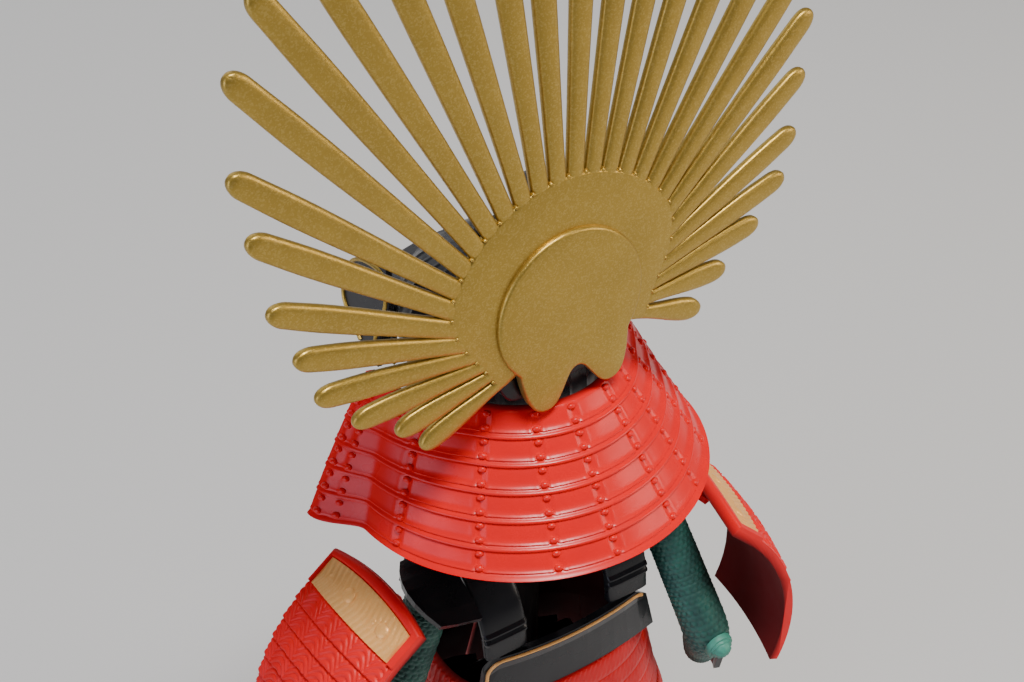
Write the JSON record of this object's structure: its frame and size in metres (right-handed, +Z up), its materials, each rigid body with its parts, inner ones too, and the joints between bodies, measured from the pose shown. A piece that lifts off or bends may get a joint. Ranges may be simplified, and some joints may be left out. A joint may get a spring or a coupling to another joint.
{
  "type": "miniature samurai armor",
  "caption": "Small display suit of laced armor seated on its storage chest, with a helmet that carries a tall rear crest of flat rays round a raised disc.",
  "frame": {"origin": "middle of the storage chest's underside, which stands on the table", "axes": "+Z up, the figure faces -Y, and +X is the figure's left side"},
  "size_m": [0.06, 0.0388, 0.1617],
  "materials": {
    "gold": "satin metallic gilt paint",
    "red": "glossy red lacquer with laced texture",
    "black": "glossy black lacquer",
    "green": "matt dark green with mail texture",
    "wood": "dark stained wood"
  },
  "bodies": {
    "root": {"back_band": "black", "brow_visor": "black", "chest": "black", "chest_lid": "black", "crown_plate_left": "gold", "crown_plate_right": "gold", "cuirass_back": "red", "cuirass_front": "red", "elbow_boss_left": "green", "elbow_boss_right": "green", "face_mask": "black", "front_band": "black", "hand_guard_left": "black", "hand_guard_right": "black", "head_block": "wood", "helmet_bowl": "black", "neck_guard": "red", "rear_crest": "gold", "shin_guard_left": "black", "shin_guard_right": "black", "shoulder_bar": "wood", "shoulder_strap_left": "black", "shoulder_strap_right": "black", "shoulder_wing_left": "black", "shoulder_wing_right": "black", "skirt_panel_1": "red", "skirt_panel_2": "red", "skirt_panel_3": "red", "skirt_panel_4": "red", "skirt_panel_5": "red", "skirt_panel_6": "red", "skirt_panel_7": "red", "sleeve_left": "green", "sleeve_right": "green", "sode_cord_left": "red", "sode_cord_right": "red", "sode_left": "red", "sode_right": "red", "stand_post": "wood", "thigh_guard_left": "black", "thigh_guard_right": "black", "throat_guard": "red", "turn_back_left": "black", "turn_back_right": "black"}
  },
  "joints": []
}
